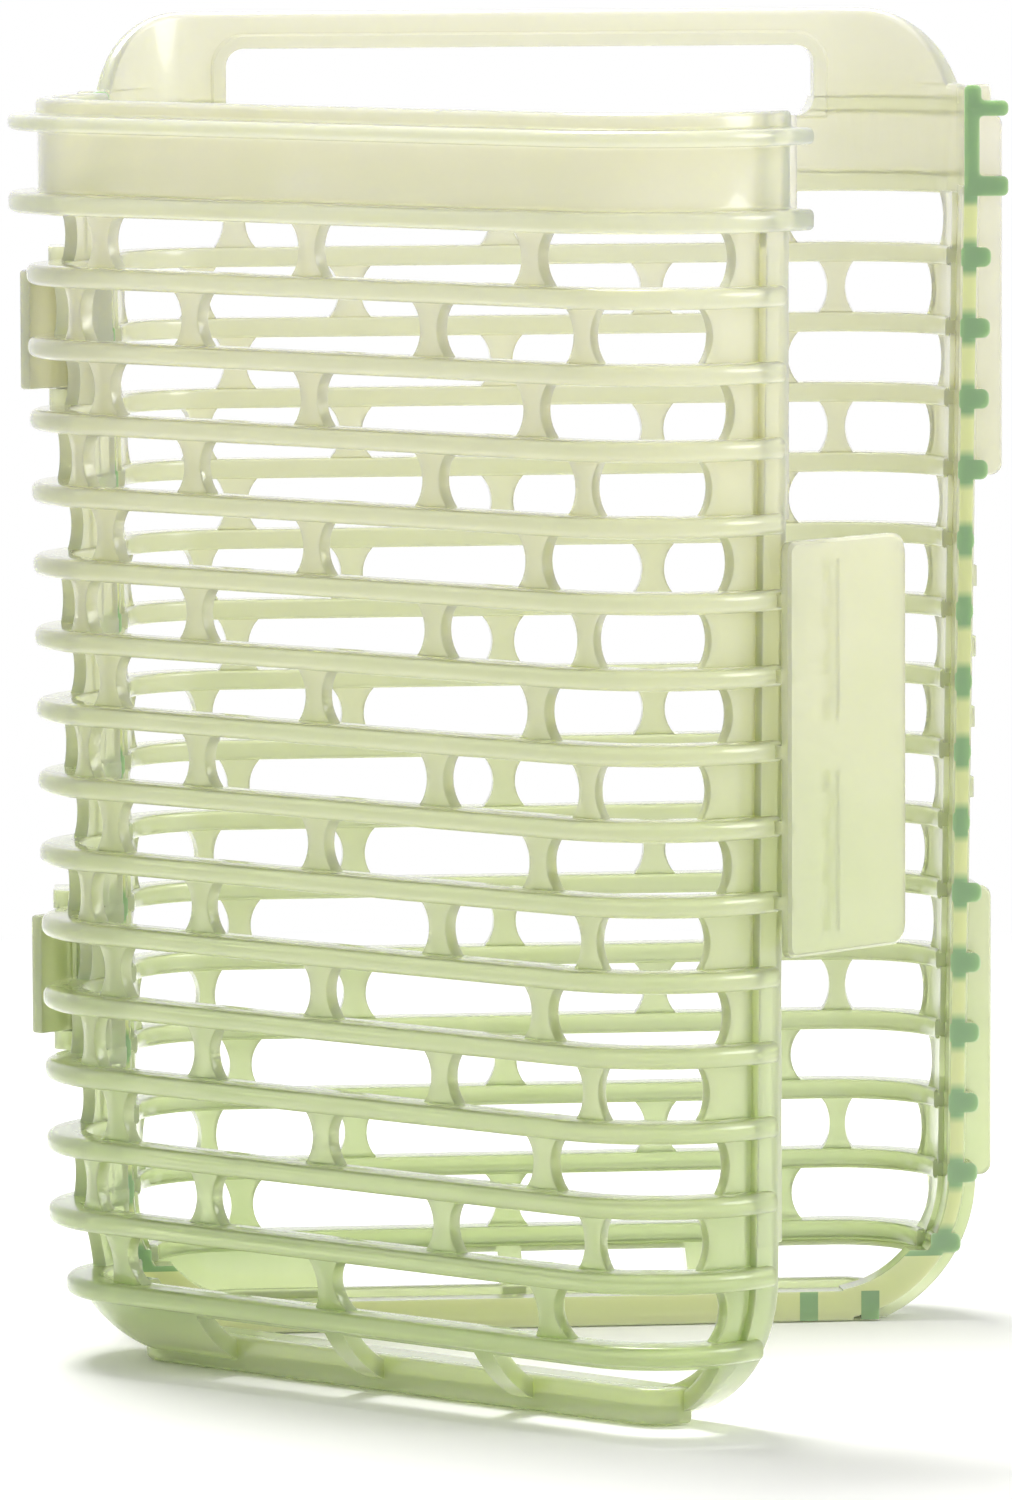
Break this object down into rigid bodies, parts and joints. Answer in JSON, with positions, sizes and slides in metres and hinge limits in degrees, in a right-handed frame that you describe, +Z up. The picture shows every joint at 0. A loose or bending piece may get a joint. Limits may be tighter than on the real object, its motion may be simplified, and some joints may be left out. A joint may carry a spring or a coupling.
{
  "type": "hinged produce keeper basket",
  "caption": "Tall translucent green plastic basket in two lattice halves, hinged at one upright edge, with a latch plate on the front half and a lifting handle on the rear half",
  "frame": {"origin": "middle of the flat underside of the rear half's foot, where it stands on the counter", "axes": "+Z up along the hinge, +X to the right across the rear half, +Y from the mating plane towards the rear half's back wall"},
  "size_m": [0.1426, 0.137, 0.1855],
  "materials": {
    "pale_green_pp": "translucent satin polypropylene"
  },
  "bodies": {
    "rear_half": {"rear_back_panel": "pale_green_pp", "rear_left_corner": "pale_green_pp", "rear_right_corner": "pale_green_pp", "rear_left_edge": "pale_green_pp", "rear_right_edge": "pale_green_pp", "rear_bottom_edge": "pale_green_pp", "rear_base": "pale_green_pp", "rear_collar": "pale_green_pp", "rear_handle": "pale_green_pp", "rear_upper_ear": "pale_green_pp", "rear_lower_ear": "pale_green_pp", "rear_latch_catches": "pale_green_pp", "rear_hinge_lugs": "pale_green_pp", "hinge_pins": "pale_green_pp"},
    "front_half": {"front_face_panel": "pale_green_pp", "front_left_corner": "pale_green_pp", "front_right_corner": "pale_green_pp", "front_left_edge": "pale_green_pp", "front_right_edge": "pale_green_pp", "front_bottom_edge": "pale_green_pp", "front_base": "pale_green_pp", "front_collar": "pale_green_pp", "front_tongue": "pale_green_pp", "front_latch_plate": "pale_green_pp", "front_latch_rails": "pale_green_pp", "front_hinge_straps": "pale_green_pp"}
  },
  "joints": [
    {"name": "basket_hinge", "type": "hinge", "parent": "rear_half", "child": "front_half", "pos_m": [-0.067, -0.00966, 0.1], "axis": [0, 0, -1], "range_deg": [-48, 102]}
  ]
}
